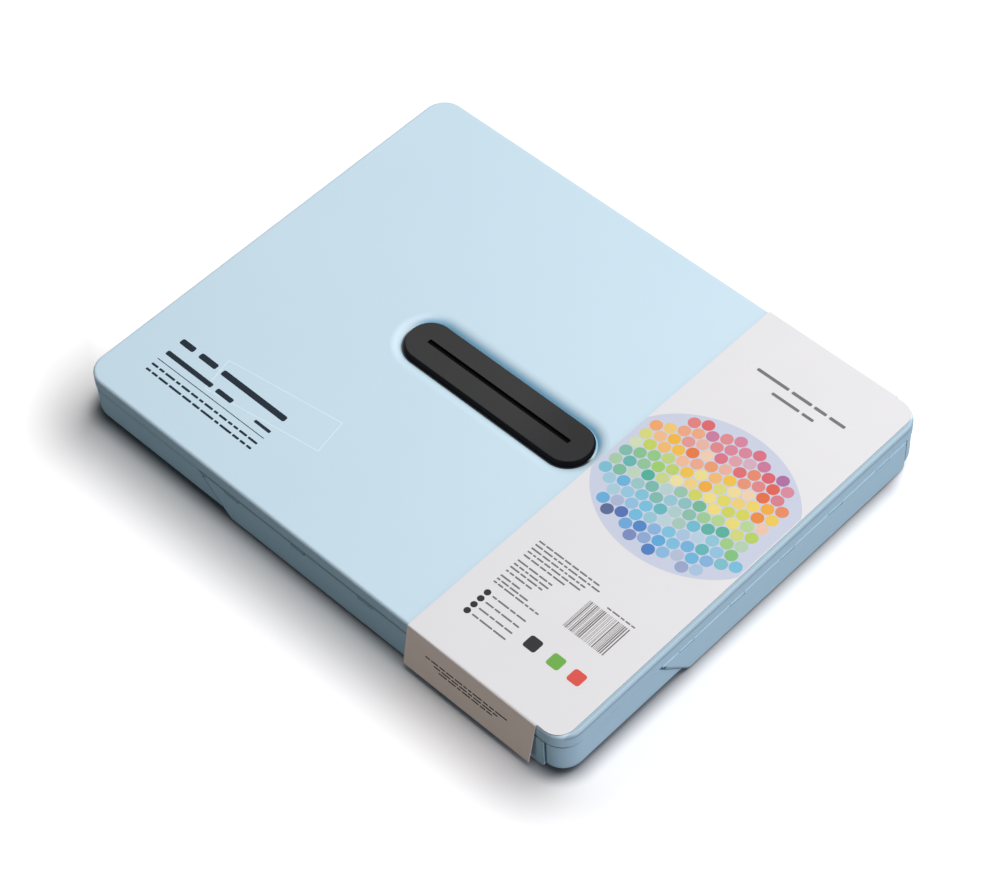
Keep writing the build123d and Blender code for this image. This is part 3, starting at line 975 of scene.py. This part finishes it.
def crease(side, hand, look):
    """The strip of card that bends where the flap meets the top."""
    gap = math.degrees(FOLD_GAP / BEND_OUTER)
    high, low = FOLD_ANGLE + CREASE_LAP, FOLD_ANGLE - gap - CREASE_LAP
    mesh = bpy.data.meshes.new(f"sleeve_crease_{side}")
    shape = bmesh.new()
    rings = []
    for step in range(CREASE_STEPS + 1):
        angle = high + (low - high) * step / CREASE_STEPS
        ring = []
        for radius, x in (
            (BEND_OUTER + CREASE_RISE, CARD_START), (BEND_OUTER + CREASE_RISE, FLAP_END),
            (BEND_INNER - CREASE_RISE, FLAP_END), (BEND_INNER - CREASE_RISE, CARD_START),
        ):
            ring.append(shape.verts.new(on_bend(hand, radius, angle) + Vector((x, 0, 0))))
        rings.append(ring)
    for step, (ring, after) in enumerate(zip(rings, rings[1:])):
        for index in range(4):
            following = (index + 1) % 4
            face = shape.faces.new(
                (ring[index], ring[following], after[following], after[index])
            )
            face.material_index = 0 if step < CREASE_STEPS / 2 else 1
            face.smooth = index % 2 == 0
    shape.faces.new(rings[0])
    shape.faces.new(list(reversed(rings[-1])))
    bmesh.ops.recalc_face_normals(shape, faces=shape.faces)
    shape.to_mesh(mesh)
    shape.free()
    mesh.materials.append(sleeve_card)
    mesh.materials.append(look)
    piece = new_object(mesh.name, mesh)
    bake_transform(piece)


crease("front", 1, flap_card_painted_light)
crease("back", -1, sleeve_card)

# Three short centred lines on the front flap, in the plane of its outer face
flap_top = on_bend(1, BEND_OUTER, math.degrees(FLAP_ANGLE))
flap_face = Matrix.Translation(flap_top) @ Matrix.Rotation(math.pi / 2 - FLAP_ANGLE, 4, "X")
FLAP_MIDDLE = 127.0
chance = random.Random(FLAP_SEED)
flap_lines = []
for y, length in ((-12.6, 64.0), (-15.4, 50.0), (-18.0, 42.0)):
    start, end = FLAP_MIDDLE - length / 2, FLAP_MIDDLE + length / 2
    flap_lines += word_row(chance, start, end, y, 1.1, 2.5, 8.0, 0.9)
print_slab(
    "sleeve_flap_bars", flap_lines, flap_face, "front_sleeve_flap", black_ink
)


# ---- Floor, world, lights and camera ----

FLOOR_ROUND = 15 * MM   # the case's corner radius, which the floor's tone follows
FLOOR_BOUNCE = rgba(0.24, 0.24, 0.24)
# A painted contact shadow right against the case's foot
FLOOR_CONTACT_SHADOW = rgba(0.14, 0.15, 0.165)
# Painted shade near the case's front and right, and white that washes out its shadow as painted
# light
FLOOR_NEAR_SHADE = rgba(0.92, 0.91, 0.91)
FLOOR_BEHIND = rgba(1.24, 1.23, 1.23)
FLOOR_FAR = rgba(4.0, 4.0, 4.0)
FLOOR_DROP = 0.1 * MM


def make_floor():
    """Pale floor: greyer to the light that bounces off it than to the camera, which
    sees it white away from the case and, as painted light over its shadow, behind and
    left of it, with painted shade near its front and right and a painted contact shadow
    right against its foot."""
    made = bpy.data.materials.new("studio_floor")
    tree = empty_tree(made)
    sight = tree.nodes.new("ShaderNodeLightPath").outputs["Is Camera Ray"]
    parts = split(tree, tree.nodes.new("ShaderNodeTexCoord").outputs["Object"])
    beside = [
        beyond(tree, part, half - FLOOR_ROUND)
        for part, half in ((parts[0], RIM.x), (parts[1], BEND_OUT))
    ]
    away = math_node(tree, "SUBTRACT", hypotenuse(tree, *beside), FLOOR_ROUND)
    # Behind and left of the case the floor is white: painted light over the case's shadow
    shadow_washed_sides = math_node(
        tree, "MAXIMUM",
        step_between(tree, parts[1], BEND_OUT - 35 * MM, BEND_OUT - 5 * MM),
        product(
            tree, step_between(tree, parts[0], -RIM.x + 20 * MM, -RIM.x),
            step_between(tree, parts[1], -BEND_OUT + 12 * MM, -BEND_OUT + 50 * MM),
        ),
    )
    bright_side = step_between(tree, parts[0], RIM.x - 10 * MM, RIM.x + 2 * MM)
    # Painted contact shadow against the case's foot, weaker on the +X side
    contact_shadow = product(
        tree, step_between(tree, away, 11 * MM, -4 * MM),
        math_node(tree, "MULTIPLY_ADD", bright_side, -0.3, 1.0),
        math_node(tree, "SUBTRACT", 1.0, shadow_washed_sides),
    )
    # The painted shade near the case gives way to white 15 to 62 mm away
    pale = math_node(
        tree, "MAXIMUM", step_between(tree, away, 15 * MM, 62 * MM), shadow_washed_sides
    )
    tone = mix_colour(tree, pale, FLOOR_NEAR_SHADE, FLOOR_BEHIND)
    tone = mix_colour(tree, contact_shadow, tone, FLOOR_CONTACT_SHADOW)
    tone = mix_colour(tree, step_between(tree, away, 0.25, 0.9), tone, FLOOR_FAR)
    tone = mix_colour(tree, sight, FLOOR_BOUNCE, tone)
    matte = put(tree, "ShaderNodeBsdfDiffuse", {"Color": tone}).outputs[0]
    put(tree, "ShaderNodeOutputMaterial", {"Surface": matte})
    bpy.ops.mesh.primitive_plane_add(size=3.4, location=(0, 0, -FLOOR_DROP))
    floor = bpy.context.object
    floor.name = "studio_floor"
    floor.data.materials.append(made)


def make_world(sky_light):
    """Dim cool sky for the light, and plain white for what the camera and gloss see."""
    world = bpy.data.worlds.new("studio_sky")
    bpy.context.scene.world = world
    tree = empty_tree(world)
    path = tree.nodes.new("ShaderNodeLightPath").outputs
    seen = math_node(
        tree, "MAXIMUM", path["Is Camera Ray"],
        math_node(tree, "MAXIMUM", path["Is Glossy Ray"], path["Is Transmission Ray"]),
    )
    tone = mix_colour(tree, seen, rgba(*sky_light), rgba(1, 1, 1))
    sky = put(tree, "ShaderNodeBackground", {"Color": tone, "Strength": 1.0}).outputs[0]
    put(tree, "ShaderNodeOutputWorld", {"Surface": sky})


ORIGIN = Vector((0, 0, 0))


def area_light(name, place, size, power, tone=(1, 1, 1)):
    """A round light that aims at the origin."""
    data = bpy.data.lights.new(name, "AREA")
    data.shape = "DISK"
    data.size = size
    data.energy = power
    data.color = tone
    lamp = new_object(name, data)
    lamp.location = place
    lamp.rotation_euler = (ORIGIN - Vector(place)).to_track_quat("-Z", "Y").to_euler()


make_floor()
make_world((0.032, 0.032, 0.034))
area_light("key_light", (0.45, 1.70, 2.40), 2.8, 78.0)
area_light("top_light", (0.3, 0.1, 2.8), 1.4, 25.0)
area_light("side_light", (2.20, 0.10, 0.35), 1.0, 19.4, (1.02, 1.0, 1.14))
area_light("front_light", (0.0, -2.4, 0.25), 0.8, 6.4, (0.93, 1.0, 1.05))

camera_data = bpy.data.cameras.new("camera")
camera_data.sensor_width = 36.0
camera_data.lens = 106.31
camera = new_object("camera", camera_data)
camera.location = (0.80869, -0.77365, 1.41578)
camera.rotation_euler = Euler([math.radians(angle) for angle in (38.206, 2.004, 43.745)])
bpy.context.scene.camera = camera
bpy.context.scene.view_settings.view_transform = "Standard"
